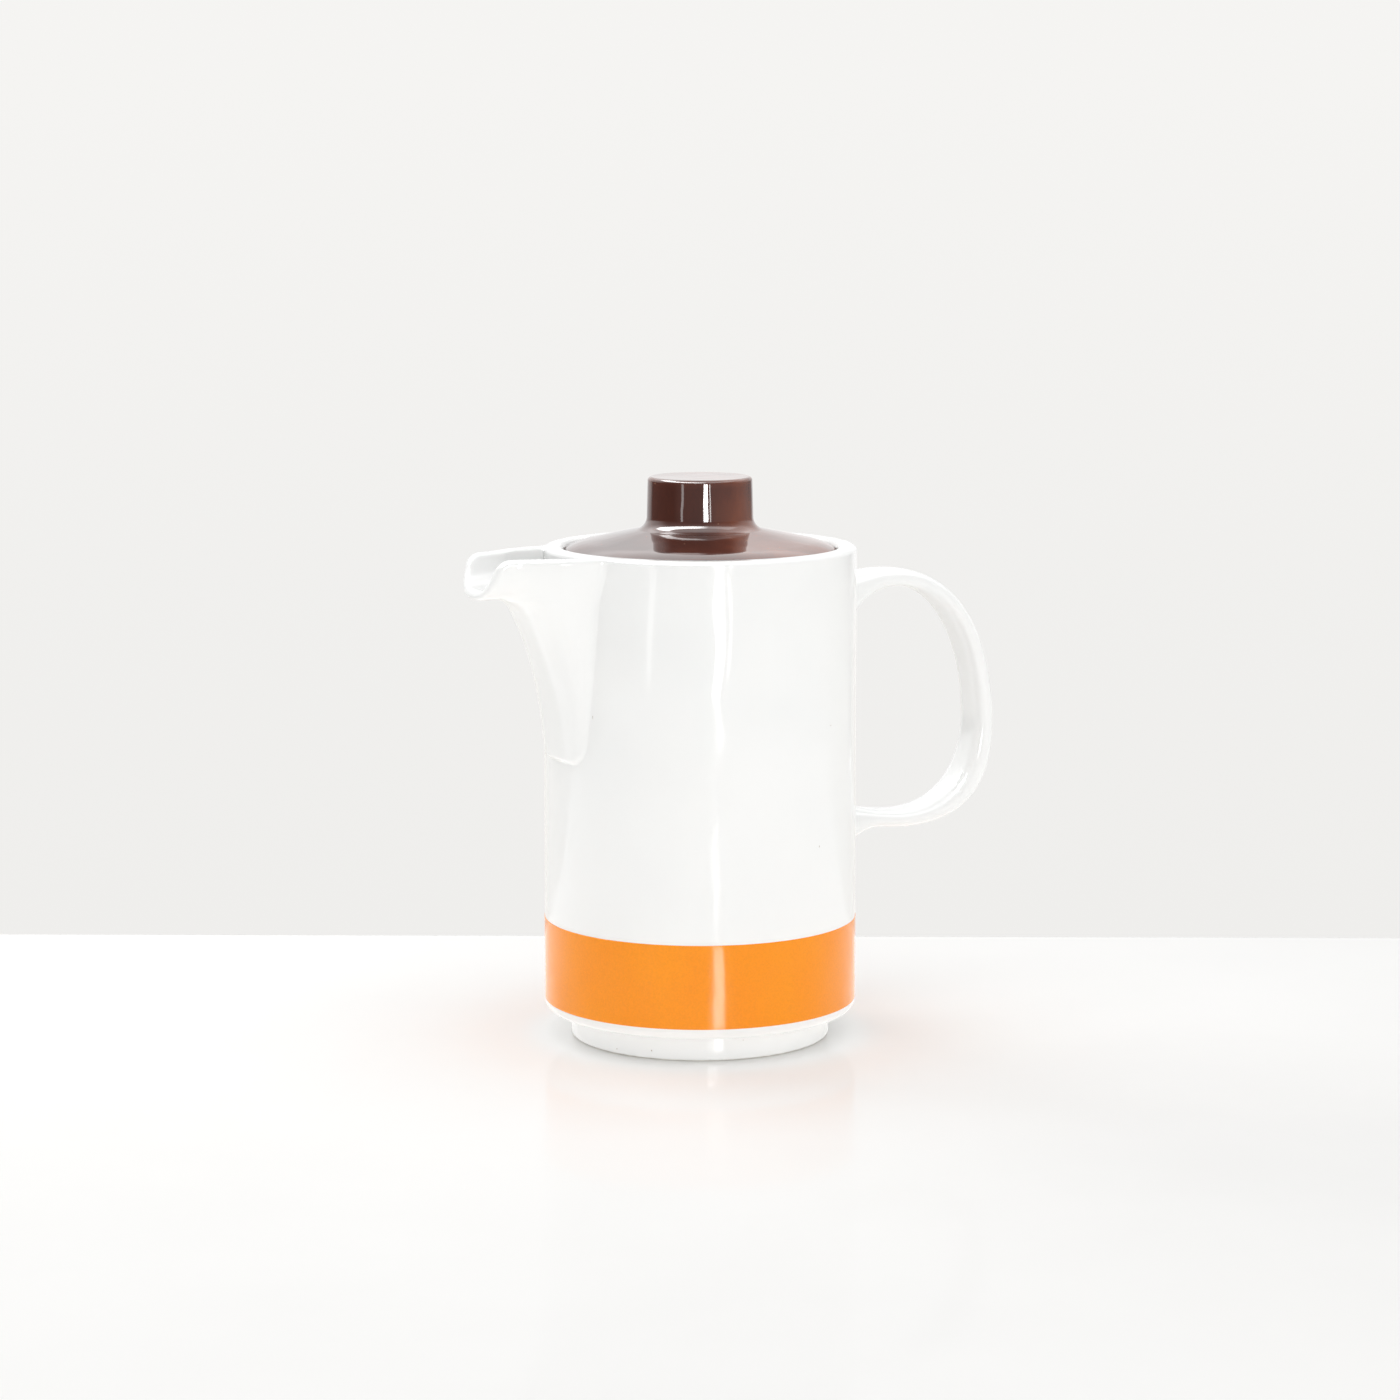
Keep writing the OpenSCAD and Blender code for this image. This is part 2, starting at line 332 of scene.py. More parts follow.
def prism(name, outline, low, high, material, place=upright):
    """A closed prism over an outline of (a, b) points; place turns (a, b, c) into x, y, z."""
    n = len(outline)
    verts = [place(a, b, c) for c in (low, high) for a, b in outline]
    faces = [[i, (i + 1) % n, n + (i + 1) % n, n + i] for i in range(n)]
    faces += [list(range(n))[::-1], list(range(n, 2 * n))]
    obj = add_mesh(name, verts, faces, material)
    face_outwards(obj.data)
    return obj


# ---- Solids given by a field: negative inside, positive outside ----

def union_round(a, b, r):
    """Union of two fields with a round fillet of radius r between them."""
    return np.maximum(r, np.minimum(a, b)) - np.hypot(np.maximum(r - a, 0), np.maximum(r - b, 0))


def intersect_round(a, b, r):
    """Intersection of two fields with its edge rounded to radius r."""
    return -union_round(-a, -b, r)


def neighbours(grid, axis):
    """A grid without its last layer along an axis, and without its first."""
    step = np.eye(3, dtype=int)[axis]
    ends = np.array(grid.shape) - step
    return grid[tuple(slice(0, n) for n in ends)], grid[tuple(slice(k, None) for k in step)]


def net_points(value):
    """For every cell of the grid, how many of its edges the surface crosses, and where, summed."""
    shape = np.array(value.shape) - 1
    hits = np.zeros(shape)
    total = np.zeros((*shape, 3))
    for axis in range(3):
        a, b = [k for k in range(3) if k != axis]
        first, second = neighbours(value, axis)
        crossing = (first < 0) != (second < 0)
        share = np.where(crossing, first / np.where(crossing, first - second, 1), 0)
        for da, db in ((0, 0), (0, 1), (1, 0), (1, 1)):
            pick = [slice(None)] * 3
            pick[a] = slice(da, da + shape[a])
            pick[b] = slice(db, db + shape[b])
            crossed = crossing[tuple(pick)]
            hits += crossed
            total[..., axis] += share[tuple(pick)] * crossed
            total[..., a] += da * crossed
            total[..., b] += db * crossed
    return hits, total


def net_faces(inside, number):
    """A quad round every edge of the grid that the surface crosses, facing outwards."""
    faces = []
    for axis in range(3):
        a, b = [k for k in range(3) if k != axis]
        first, second = neighbours(inside, axis)
        edge = np.argwhere(first != second)
        keep = (edge[:, a] > 0) & (edge[:, b] > 0) & (edge[:, a] < inside.shape[a] - 1)
        edge = edge[keep & (edge[:, b] < inside.shape[b] - 1)]
        flip = first[tuple(edge.T)] ^ (axis == 1)
        quad = []
        for da, db in ((0, 0), (1, 0), (1, 1), (0, 1)):
            cell = edge.copy()
            cell[:, a] -= da
            cell[:, b] -= db
            quad.append(number[tuple(cell.T)])
        quad = np.stack(quad, 1)
        quad[~flip] = quad[~flip][:, ::-1]
        faces.append(quad)
    return np.concatenate(faces).tolist()


def pull_onto(field, verts, longest):
    """Moves points onto the surface in four steps, none of them longer than longest."""
    least_slope = 0.05
    for _ in range(4):
        slope = gradient(field, verts)
        size = np.maximum((slope ** 2).sum(1), least_slope)
        move = slope * (field(*verts.T) / size)[:, None]
        length = np.maximum(np.linalg.norm(move, axis=1, keepdims=True), 1e-9)
        verts = verts - move * np.minimum(1, longest / length)
    return verts


def field_mesh(name, field, low, high, pitch, material, touch_up):
    """A smooth closed mesh of the surface where the field is 0, by surface nets."""
    axes = [np.arange(low[i], high[i] + pitch, pitch) for i in range(3)]
    value = field(*np.meshgrid(*axes, indexing="ij"))
    hits, total = net_points(value)
    cells = hits > 0
    number = np.full(hits.shape, -1)
    number[cells] = np.arange(cells.sum())
    verts = np.array(low) + pitch * (np.argwhere(cells) + total[cells] / hits[cells][:, None])
    verts = pull_onto(field, verts, pitch / 2)
    normals = touch_up(verts, unit(gradient(field, verts)))
    obj = add_mesh(name, verts, net_faces(value < 0, number), material)
    obj.data.normals_split_custom_set_from_vertices(normals.tolist())
    return obj


def gradient(field, points, h=0.03):
    """Central differences of a field at points."""
    slope = np.zeros_like(points)
    for i in range(3):
        shift = np.zeros(3)
        shift[i] = h
        slope[:, i] = field(*(points + shift).T) - field(*(points - shift).T)
    return slope / (2 * h)


def smooth_step(x):
    """0 up to 0 and 1 from 1 on, with a smooth change."""
    x = np.clip(x, 0, 1)
    return x * x * (3 - 2 * x)


def bezier(points, t):
    """The point at t, from 0 to 1, on the cubic curve of four control points."""
    a, b, c, d = [np.array(p, float) for p in points]
    t = np.asarray(t)[..., None]
    return (1 - t) ** 3 * a + 3 * (1 - t) ** 2 * t * b + 3 * (1 - t) * t * t * c + t ** 3 * d


# ---- Spout ----

def oval(p, q, squareness):
    """How far out (p, q) lies, 1 on a squared ellipse, and how that changes with p and with q."""
    far = np.maximum((p ** squareness + q ** squareness) ** (1 / squareness), 1e-6)
    return far, (p / far) ** (squareness - 1), (q / far) ** (squareness - 1)


def in_millimetres(far, du, dy, dz):
    """Turns an oval's measure into a distance from its surface, by its slopes."""
    return (far - 1) / np.sqrt(du ** 2 + dy ** 2 + dz ** 2 + 1e-9)


def chute_field(x, y, z):
    """The channel's outside on the wall, an oval in level sections that swells towards the lip."""
    foot_z, lip_z = SPOUT_LOW + 1.6, LIP_Z - 0.5
    t = np.clip((z - foot_z) / (lip_z - foot_z), -0.1, 1)
    line = (POT_R + 1.6, 55, 58.8, CHUTE_NOSE)      # the chute's front, as distances from the axis
    nose = bezier(line, t)[..., 0]
    slope = (3 * (1 - t) ** 2 * (line[1] - line[0]) + 6 * (1 - t) * t * (line[2] - line[1])
             + 3 * t * t * (line[3] - line[2])) / (lip_z - foot_z)
    widening = (ROOT_HALF_W - CHUTE_TUCK - CHUTE_LOW_HALF_W) * (z - SPOUT_LOW) / (RIM_TOP - SPOUT_LOW)
    half = CHUTE_LOW_HALF_W + widening
    depth = nose - ROOT_U
    p = np.maximum(-x - ROOT_U, 0) / depth
    far, dp, dq = oval(p, np.abs(y) / half, CHUTE_SQUARENESS)
    return in_millimetres(far, dp / depth, dq / half, dp / depth * p * slope)


def trough_field(x, y, z):
    """The lip's outside, a U in upright sections that narrows towards its end."""
    narrowing = (LIP_HALF_W - ROOT_HALF_W) / (LIP_REACH - ROOT_U)
    half = ROOT_HALF_W + narrowing * (-x - ROOT_U)
    depth = RIM_TOP - LIP_Z
    p = np.abs(y) / half
    far, dp, dq = oval(p, np.maximum(RIM_TOP - z, 0) / depth, LIP_SQUARENESS)
    return in_millimetres(far, dp / half * p * narrowing, dp / half, dq / depth)


def spout_field(x, y, z):
    """The whole spout: a shell round its channel, filleted onto the wall, with rounded crests."""
    edge, mouth_edge, end_edge = 1.6, 1.5, 3.5      # on the crests, at the opening, at the lip's end
    under_lip, channel_round = 6.0, 3.0             # where chute and lip meet, outside and inside
    lining, root_depth, skirt = 2.2, 1.9, 0.8       # what stays in the opening, in the wall, on its face
    fillet_low, fillet_more, fillet_grows = 1.1, 1.1, 30
    front_lean = 0.1                                # how fast the chute's sides spread with height
    chute = chute_field(x, y, z)
    trough = trough_field(x, y, z)
    sides = np.abs(y) - CHUTE_LOW_HALF_W - front_lean * (z - SPOUT_LOW)
    front = intersect_round(sides, SPOUT_LOW + 0.1 - z, CHUTE_CORNER)
    outside = union_round(intersect_round(chute, front, edge), trough, under_lip)
    channel = union_round(chute + SPOUT_T, trough + SPOUT_T, channel_round)
    round_wall = np.hypot(x, y)
    wall = round_wall - (POT_R - SINK)
    fillet = fillet_low + fillet_more * smooth_step((z - SPOUT_LOW) / fillet_grows)
    solid = union_round(outside, wall, fillet)
    solid = np.maximum(solid, -intersect_round(channel, -wall, mouth_edge))
    rake = math.atan2(LIP_RAKE, RIM_TOP - LIP_Z)
    end = (-x - LIP_REACH) * math.cos(rake) + (z - LIP_Z) * math.sin(rake)
    crest = z - (RIM_TOP - SINK)
    solid = intersect_round(solid, intersect_round(crest, end, end_edge), edge)
    solid = np.maximum(solid, POT_R - root_depth - round_wall)
    solid = np.maximum(solid, -(channel + lining))
    return np.maximum(solid, outside - fillet - skirt)


def meet_wall(verts, normals):
    """The normals, with those of a fillet's foot turned to the wall's own, so that the glaze runs on."""
    blend_w, inside_w, below_rim = 0.35, 0.2, 2.0
    around = np.hypot(verts[:, 0], verts[:, 1])
    radial = np.stack([verts[:, 0] / around, verts[:, 1] / around, np.zeros(len(verts))], 1)
    blend = 1 - smooth_step((around - POT_R) / blend_w)
    blend *= (around < POT_R + blend_w) & (around > POT_R - inside_w)
    blend *= (verts[:, 2] < RIM_TOP - below_rim) & ((normals * radial).sum(1) > 0.5)
    return unit(normals * (1 - blend[:, None]) + radial * blend[:, None])


def make_spout(glaze, inside):
    """The chute and lip; faces that look back at the axis or at the middle plane are its inside."""
    low = (-LIP_REACH - 1.2, -ROOT_HALF_W - 6, SPOUT_LOW - 4)
    high = (-43.0, ROOT_HALF_W + 6, RIM_TOP + 1.5)
    obj = field_mesh("spout_shell", spout_field, low, high, SPOUT_PITCH, glaze, meet_wall)
    obj.data.materials.append(inside)
    # the inside material, here the lighter copy of the white glaze, is painted light in the channel's shade
    for face in obj.data.polygons:
        outward = face.normal.y if face.center.y > 0 else -face.normal.y
        face.material_index = int(face.normal.x > 0.2 or outward < -0.3)
    return obj


# ---- Handle ----

def handle_outlines(t):
    """Points (u, z) on the outer and inner outline at t from 0, the upper root, to 4, the lower one."""
    top, low, reach, wide = HANDLE_TOP, HANDLE_LOW, HANDLE_REACH, HANDLE_WIDE_Z
    in_top, in_low, in_reach = top - UPPER_ARM_T, low + LOWER_ARM_T, reach - GRIP_T
    outer = [
        [(49, top - 2.3), (56, top - 1.2), (63, top), (70.5, top)],
        [(70.5, top), (reach - 13, top), (reach, wide + 29), (reach, wide)],
        [(reach, wide), (reach, wide - 23), (reach - 11, low), (77, low)],
        [(77, low), (66, low + 0.6), (58, low + 5), (51, low - 15)]]
    inner = [
        [(49, in_top - 23), (57, in_top - 9.4), (60, in_top - 0.2), (74, in_top)],
        [(74, in_top), (95.5, in_top), (in_reach, wide + 27), (in_reach, wide + 3)],
        [(in_reach, wide + 3), (in_reach, wide - 15), (96, in_low), (77, in_low)],
        [(77, in_low), (69, in_low), (60, in_low + 2), (49, in_low + 5.5)]]
    part = np.minimum(t.astype(int), 3)
    out, inn = np.zeros((len(t), 2)), np.zeros((len(t), 2))
    for k in range(4):
        here = part == k
        out[here] = bezier(outer[k], t[here] - k)
        inn[here] = bezier(inner[k], t[here] - k)
    return out, inn


def strap_line(t, middle, half, level, side):
    """One line along the strap, with a fillet at both ends whose feet lie just under the wall's face."""
    stations, fillet_steps = 170, 9
    quarter = len(t) // 4
    out = np.stack([half[:, 0] * level, np.full(len(t), HANDLE_HALF_W * side), half[:, 1] * level], 1)
    line = out + np.stack([middle[:, 0], np.zeros(len(t)), middle[:, 1]], 1)
    out = unit(out)
    above = np.hypot(line[:, 0], line[:, 1]) - POT_R

    def upper(rise):
        return np.interp(rise, above[:quarter], t[:quarter])

    def lower(rise):
        return np.interp(-rise, -above[-quarter:], t[-quarter:])

    fillet = HANDLE_FILLET + HANDLE_SIDE_FILLET * side ** 2
    turn = np.arange(1, fillet_steps + 1) / fillet_steps * math.pi / 2
    rise = fillet * (1 - np.sin(turn)) - SINK
    spread = fillet * (1 - np.cos(turn))
    straight = np.linspace(upper(fillet), lower(fillet), stations)
    where = np.concatenate([upper(rise)[::-1], straight, lower(rise)])
    widen = np.concatenate([spread[::-1], np.zeros(stations), spread])
    points = [np.interp(where, t, line[:, i]) + widen * np.interp(where, t, out[:, i]) for i in range(3)]
    points = np.stack(points, 1)
    first, last = slice(0, fillet_steps), slice(-fillet_steps, None)
    for part, radius in ((first, POT_R + rise[::-1]), (last, POT_R + rise)):
        flat = points[part, :2]
        points[part, :2] = flat * (radius / np.linalg.norm(flat, axis=1))[:, None]
    return points


def make_handle(material):
    """A strap of squared oval section swept along its outlines and closed inside the wall."""
    lines = 64
    angles = np.arange(lines) * 2 * math.pi / lines
    power = 2 / HANDLE_SQUARENESS
    levels = np.sign(np.cos(angles)) * np.abs(np.cos(angles)) ** power
    sides = np.sign(np.sin(angles)) * np.abs(np.sin(angles)) ** power
    t = np.linspace(0, 4, 1600)
    out, inn = handle_outlines(t)
    grid = np.stack([strap_line(t, (out + inn) / 2, (out - inn) / 2, *turn) for turn in zip(levels, sides)])
    normals = np.cross(np.roll(grid, -1, 0) - np.roll(grid, 1, 0), np.gradient(grid, axis=1))
    normals *= np.sign((normals * (grid - grid.mean(0))).sum(-1).mean())
    for end in (0, -1):
        normals[:, end] = grid[:, end] * (1, 1, 0)
    steps = grid.shape[1]
    starts = [j * steps for j in range(lines)]
    faces = []
    for here, beside in zip(starts, starts[1:] + starts[:1]):
        faces += [[here + k, beside + k, beside + k + 1, here + k + 1] for k in range(steps - 1)]
    faces.append(starts[::-1])
    faces.append([start + steps - 1 for start in starts])
    obj = add_mesh("handle_strap", grid.reshape(-1, 3), faces, material)
    face_outwards(obj.data)
    obj.data.normals_split_custom_set_from_vertices(unit(normals).reshape(-1, 3).tolist())
    return obj


# ---- Turned pieces ----

def make_wall(material):
    """The pot's wall and floor, with the opening behind the spout."""
    bore = POT_R - WALL_T
    floor = FLOOR_UNDER + FLOOR_T
    strips = profile([(0, FLOOR_UNDER, 0), (POT_R, FLOOR_UNDER, CORNER_R), (POT_R, WALL_TOP, 0),
                      (bore, WALL_TOP, 0), (bore, floor, INNER_CORNER_R), (0, floor, 0)])
    obj = turned("pot_wall", strips, material)
    bend = [(WINDOW_HALF_W * math.cos(a), WINDOW_LOW + WINDOW_HALF_W + WINDOW_HALF_W * math.sin(a))
            for a in np.linspace(math.pi, 2 * math.pi, 25)]
    outline = bend + [(WINDOW_HALF_W, WINDOW_HIGH), (-WINDOW_HALF_W, WINDOW_HIGH)]
    cutter = prism("window_cutter", outline, -POT_R - 5, -POT_R + 12, material, lambda a, b, c: (c, a, b))
    cut(obj, cutter, strips)
    return obj


def make_rim(material):
    """The rim ring with the ledge for the lid and the lug's notch in it."""
    recess = POT_R - RIM_W
    strips = profile([(LEDGE_R, WALL_TOP, 0), (POT_R, WALL_TOP, 0), (POT_R, RIM_TOP, RIM_OUTER_EDGE),
                      (recess, RIM_TOP, RIM_INNER_EDGE), (recess, SEAT_Z, 0.5), (LEDGE_R, SEAT_Z, 0.7)],
                     closed=True)
    obj = turned("rim", strips, material)
    notch_r = LUG_REACH_R + NOTCH_GAP
    half = LUG_HALF_W + NOTCH_SIDE_GAP
    end = math.asin(half / notch_r)
    outline = [(0.0, -half)] + arc_points(notch_r, np.linspace(-end, end, 17)) + [(0.0, half)]
    cutter = prism("notch_cutter", outline, WALL_TOP - 1, RIM_TOP + 1, material)
    cut(obj, cutter, strips)
    return obj


def make_foot(glaze, bare):
    """The foot ring, bare on its tread."""
    inner = FOOT_R - FOOT_T
    flare = FOOT_R + FOOT_FLARE
    strips = profile([(inner, FLOOR_UNDER + OVERLAP, 0), (inner, 0, FOOT_EDGE), (FOOT_R, 0, FOOT_EDGE),
                      (FOOT_R, FLOOR_UNDER - SINK, FOOT_FILLET), (flare, FLOOR_UNDER - SINK, 0),
                      (flare, FLOOR_UNDER + OVERLAP, 0)], closed=True)
    obj = turned("foot", strips, glaze)
    obj.data.materials.append(bare)
    for face in obj.data.polygons:
        face.material_index = int(face.center.z < 0.5 * MM)
    return obj


def make_band(material):
    """The enamel, standing a little proud of the wall, with soft edges."""
    under = POT_R - 0.05
    strips = profile([(under, BAND_LOW, 0), (BAND_R, BAND_LOW, ENAMEL_EDGE), (BAND_R, BAND_TOP, ENAMEL_EDGE),
                      (under, BAND_TOP, 0)], closed=True, steps=5)
    return turned("enamel_band", strips, material)


def make_lid_cap(material):
    """The lid's shallow cone, bent down at its edge and drawn up into the knob's neck."""
    hollow = KNOB_R - KNOB_WALL
    slope = (LID_RISE - LID_SHOULDER) / (LID_R - (KNOB_R + NECK_FILLET))

    def cone_z(r):
        return LID_EDGE_Z + LID_SHOULDER + slope * (LID_R - r)

    lean = KNOB_TAPER / (KNOB_TOP - NECK_Z)
    bend_r = LID_R - LID_BEND_W
    neck_low = cone_z(KNOB_R)
    strips = profile([(hollow, NECK_Z, 0), (hollow, NECK_Z - NECK_FILLET - LID_T, 3),
                      (LID_R - LID_SEAT_W, SEAT_Z, 2), (LID_R, SEAT_Z, 0.6), (LID_R, LID_EDGE_Z, 1.2),
                      (bend_r, cone_z(bend_r), LID_BEND_R),
                      (KNOB_R + lean * (NECK_Z - neck_low), neck_low, NECK_FILLET), (KNOB_R, NECK_Z, 0)],
                     closed=True)
    return turned("lid_dome", strips, material)


def make_knob(material):
    """The hollow knob, very slightly tapered, its top a little dished."""
    hollow = KNOB_R - KNOB_WALL
    ceiling = KNOB_TOP - KNOB_TOP_T
    dish = KNOB_TOP - KNOB_DISH
    strips = profile([(0, ceiling, 0), (hollow, ceiling, 2.5), (hollow, NECK_Z, 0), (KNOB_R, NECK_Z, 0),
                      (KNOB_R - KNOB_TAPER, KNOB_TOP, KNOB_EDGE), (KNOB_R * 0.5, dish, 60), (0, dish, 0)])
    return turned("lid_knob_shell", strips, material)


def make_collar(material):
    """The ring under the lid that keeps it inside the ledge."""
    inner = COLLAR_R - COLLAR_T
    strips = profile([(inner, SEAT_Z, 0), (inner, COLLAR_LOW, COLLAR_EDGE),
                      (COLLAR_R, COLLAR_LOW, COLLAR_EDGE), (COLLAR_R, SEAT_Z, 0)], closed=True)
    return turned("lid_collar_ring", strips, material)


def make_lug(material):
    """A short ledge on the collar with eased edges."""
    end = math.asin(LUG_HALF_W / LUG_REACH_R)
    arc = np.linspace(-end, end, 13)
    outline = arc_points(LUG_REACH_R, arc) + arc_points(COLLAR_R - OVERLAP, arc[::-1])
    obj = prism("lid_lug_ledge", outline, LUG_LOW, LUG_TOP, material)
    ease = obj.modifiers.new("ease", "BEVEL")
    ease.width = LUG_EDGE * MM
    ease.segments = 4
    ease.limit_method = "ANGLE"
    renew_mesh(obj)
    return obj


# ---- Materials ----

class Graph:
    """Adds nodes to a tree and feeds their sockets."""

    def __init__(self, tree):
        self.tree = tree

    def add(self, kind, **values):
        """A new node with its settings, or the values of its inputs, by name."""
        node = self.tree.nodes.new(kind)
        for key, value in values.items():
            if hasattr(node, key):
                setattr(node, key, value)
            else:
                node.inputs[key.replace("_", " ")].default_value = value
        return node

    def link(self, out, into):
        self.tree.links.new(out, into)

    def feed(self, sockets, values):
        """Gives each socket a number, a colour or another node's output."""
        for socket, value in zip(sockets, values):
            if isinstance(value, (int, float)):
                socket.default_value = value
            elif isinstance(value, tuple):
                socket.default_value = (*value, 1)
            else:
                self.link(value, socket)

    def math(self, operation, a, b):
        node = self.add("ShaderNodeMath", operation=operation)
        self.feed(node.inputs, (a, b))
        return node.outputs[0]

    def mix(self, fac, a, b, blend="MIX"):
        node = self.add("ShaderNodeMixRGB", blend_type=blend)
        self.feed(node.inputs, (fac, a, b))
        return node.outputs[0]

    def span(self, value, at_0, at_1, change="LINEAR"):
        """0 where the value is at_0 and before, 1 where it is at_1 and beyond."""
        node = self.add("ShaderNodeMapRange", interpolation_type=change)
        self.feed(node.inputs, (value, at_0, at_1))
        return node.outputs[0]

    def ramp(self, value, stops):
        """Colours or greys along a value; each stop is (place from 0 to 1, colour or grey)."""
        node = self.add("ShaderNodeValToRGB")
        band = node.color_ramp
        while len(band.elements) < len(stops):
            band.elements.new(0.5)
        for element, (place, colour) in zip(band.elements, stops):
            element.position = place
            element.color = (*as_colour(colour), 1)
        self.link(value, node.inputs["Fac"])
        return node.outputs["Color"]

    def mirrored(self, paths):
        """1 for what a glossy surface mirrors straight to the camera, 0 for light that was scattered."""
        unscattered = self.math("LESS_THAN", paths["Diffuse Depth"], 0.5)
        return self.math("MULTIPLY", paths["Is Glossy Ray"], unscattered)


def as_colour(value):
    return value if isinstance(value, tuple) else (value, value, value)


class Finish(Graph):
    """A procedural material; its noises are laid out in the object's own space."""

    def __init__(self, name):
        self.material = bpy.data.materials.new(name)
        self.material.use_nodes = True
        super().__init__(self.material.node_tree)
        self.shader = self.tree.nodes["Principled BSDF"]
        self.place = self.add("ShaderNodeTexCoord").outputs["Object"]

    def set(self, socket, value):
        """Links an output to one of the shader's sockets, or sets the socket's own number or colour."""
        self.feed([self.shader.inputs[socket]], [value])

    def noise(self, scale, detail=2.0, stretch=None):
        """Noise of so many waves a metre, from 0 to 1."""
        node = self.add("ShaderNodeTexNoise", Scale=scale, Detail=detail)
        place = self.place
        if stretch:
            mapping = self.add("ShaderNodeMapping", Scale=stretch)
            self.link(place, mapping.inputs["Vector"])
            place = mapping.outputs["Vector"]
        self.link(place, node.inputs["Vector"])
        return node.outputs["Fac"]

    def bump(self, height, distance_mm, normal=None):
        node = self.add("ShaderNodeBump", Strength=1.0, Distance=distance_mm * MM)
        self.link(height, node.inputs["Height"])
        if normal:
            self.link(normal, node.inputs["Normal"])
        return node.outputs["Normal"]

    def glaze_wave(self):
        """The slow wave of the fired glaze, the same over and beside the enamel."""
        return self.bump(self.noise(38, 1, stretch=(1, 1, 0.8)), 0.8)


def white_glaze(name, white):
    """Clear glaze over white porcelain: faint clouds, rare specks, a slow wave and a fine orange peel."""
    n = Finish(name)
    clouds = n.ramp(n.noise(22, 3), [(0.3, (white - 0.02, white - 0.013, white - 0.02)),
                                     (0.7, (white, white + 0.003, white - 0.007))])
    specks = n.ramp(n.noise(800, 0), [(0.08, 1), (0.095, 0)])
    n.set("Base Color", n.mix(specks, clouds, (0.5, 0.44, 0.38)))
    n.set("Roughness", n.ramp(n.noise(60, 3), [(0.3, 0.055), (0.75, 0.1)]))
    n.set("Normal", n.bump(n.noise(700, 2), 0.003, n.glaze_wave()))
    n.set("IOR", 1.52)
    return n.material


def bare_porcelain():
    """The unglazed tread: dry, faintly creamy, greyed by use."""
    n = Finish("bare_porcelain")
    n.set("Base Color", n.ramp(n.noise(300, 4), [(0.35, (0.62, 0.6, 0.56)), (0.65, (0.8, 0.78, 0.74))]))
    n.set("Roughness", n.ramp(n.noise(500, 3), [(0.3, 0.5), (0.7, 0.75)]))
    n.set("Normal", n.bump(n.noise(1800, 3), 0.02))
    return n.material


def brown_glaze():
    """Dark brown glaze that breaks to rust where it runs thin, at edges and in streaks down the knob;
    painted light makes it lighter and redder on its +X side, more so lower down.
    """
    n = Finish("brown_glaze")
    split = n.add("ShaderNodeSeparateXYZ")
    n.link(n.place, split.inputs["Vector"])
    across, height = split.outputs["X"], split.outputs["Z"]
    lid_edge = n.span(height, (LID_EDGE_Z + 0.4) * MM, (SEAT_Z + 1) * MM)
    top_edge = n.span(height, (KNOB_TOP - 3.0) * MM, (KNOB_TOP - 0.2) * MM)
    edges = n.math("MAXIMUM", lid_edge, n.math("MULTIPLY", top_edge, 0.35))
    # painted light: the knob and lid turn lighter and redder on their +X side, the camera's right, more so
    # lower down
    side_light_lower = n.span(height, (KNOB_TOP - 2.0) * MM, NECK_Z * MM)
    side_light_mask = n.span(across, -0.5 * KNOB_R * MM, 0.3 * KNOB_R * MM)
    painted_side_light = n.math("MULTIPLY", side_light_mask, n.math("ADD", n.math("MULTIPLY", side_light_lower, 0.2), 0.15))
    streaks = n.math("MULTIPLY", n.noise(70, 4, stretch=(1, 1, 0.35)), 0.75)
    # thin glaze in streaks and at edges, plus the painted side light
    thin = n.math("ADD", n.math("ADD", streaks, painted_side_light), n.math("MULTIPLY", edges, 0.5))
    colour = n.ramp(thin, [(0.25, (0.06, 0.016, 0.010)), (0.5, (0.10, 0.027, 0.016)),
                           (0.85, (0.24, 0.068, 0.03))])
    specks = n.ramp(n.noise(520, 1), [(0.2, 1), (0.215, 0)])
    n.set("Base Color", n.mix(specks, colour, (0.3, 0.16, 0.1)))
    n.set("Roughness", n.ramp(n.noise(90, 3), [(0.3, 0.04), (0.75, 0.085)]))
    n.set("Normal", n.bump(n.noise(900, 2), 0.002, n.bump(n.noise(110, 1), 0.12)))
    n.set("IOR", 1.6)
    return n.material


def orange_enamel():
    """Printed enamel fired over the glaze: dense orange, faintly mottled, a little duller than the glaze."""
    n = Finish("orange_enamel")
    clouds = n.noise(45, 4, stretch=(1, 1, 0.5))
    colour = n.ramp(clouds, [(0.3, (0.97, 0.285, 0.001)), (0.7, (1.0, 0.315, 0.003))])
    grain = n.ramp(n.noise(1500, 2), [(0.3, 0.92), (0.7, 1)])
    n.set("Base Color", n.mix(1.0, colour, grain, "MULTIPLY"))
    n.set("Roughness", n.ramp(n.noise(800, 3), [(0.3, 0.09), (0.7, 0.15)]))
    n.set("Normal", n.bump(n.noise(1200, 2), 0.006, n.glaze_wave()))
    n.set("IOR", 1.37)
    return n.material


